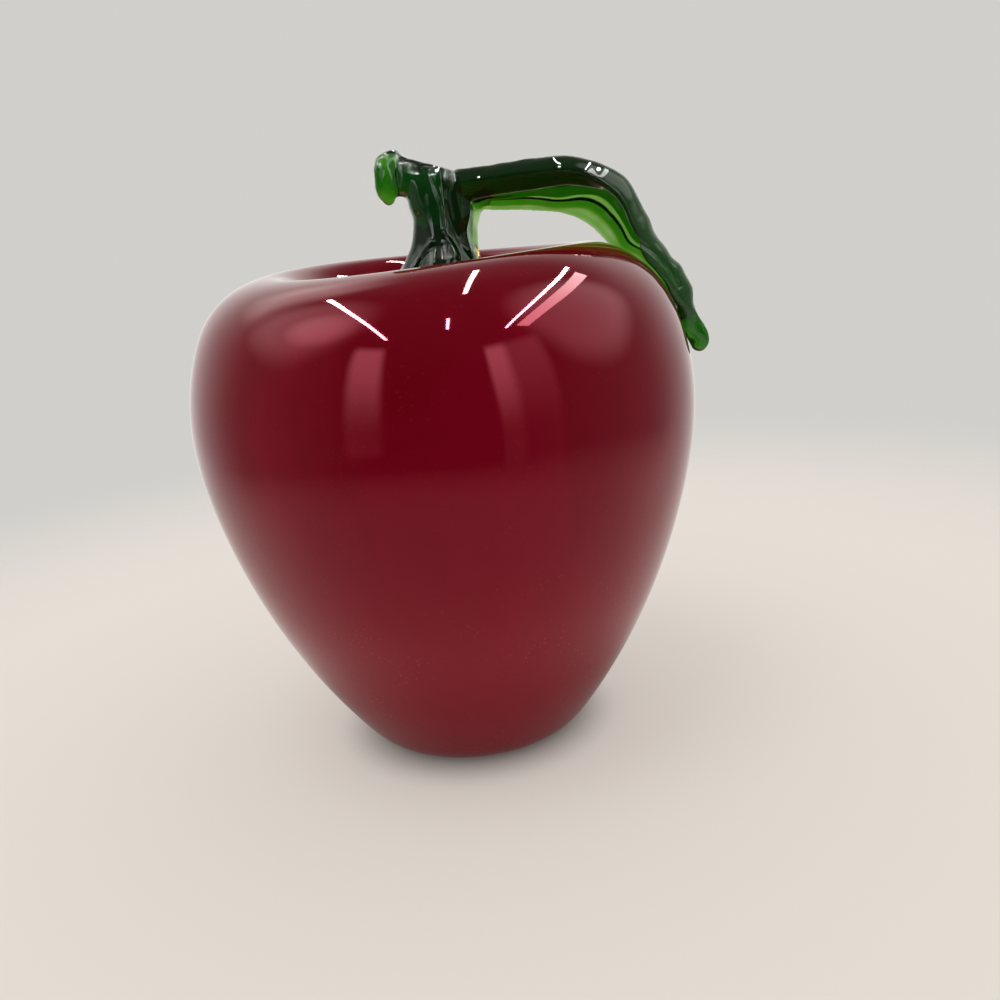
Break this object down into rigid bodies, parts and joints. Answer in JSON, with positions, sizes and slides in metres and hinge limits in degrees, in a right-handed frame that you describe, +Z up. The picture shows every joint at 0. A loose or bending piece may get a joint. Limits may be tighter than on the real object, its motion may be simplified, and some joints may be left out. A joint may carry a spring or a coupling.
{
  "type": "glass apple paperweight",
  "caption": "Blown glass apple in layers, with an applied stem that ends in a sheared knob and an applied leaf that arches over the dimple and lies on one shoulder; rests on a flat base.",
  "frame": {"origin": "centre of the flat ground base, on the plane the apple stands on", "axes": "+Z up along the apple's axis, +X to the right towards the leaf, -Y to the front"},
  "size_m": [0.1369, 0.13, 0.1553],
  "materials": {
    "clear_casing": "fire-polished clear glass over the colour, ground flat at the base",
    "red_layer": "deep red colour glass, opaque in this thickness",
    "inner_bubble": "pale glass of the first bubble, inside surface fire-polished",
    "stem": "dark green transparent glass, fire-polished, sheared at the spur",
    "leaf": "green transparent glass, dark where thick and bright where thin, fire-polished"
  },
  "bodies": {
    "root": {"clear_casing": "clear_casing", "red_layer": "red_layer", "inner_bubble": "inner_bubble", "stem": "stem", "leaf": "leaf"}
  },
  "joints": []
}
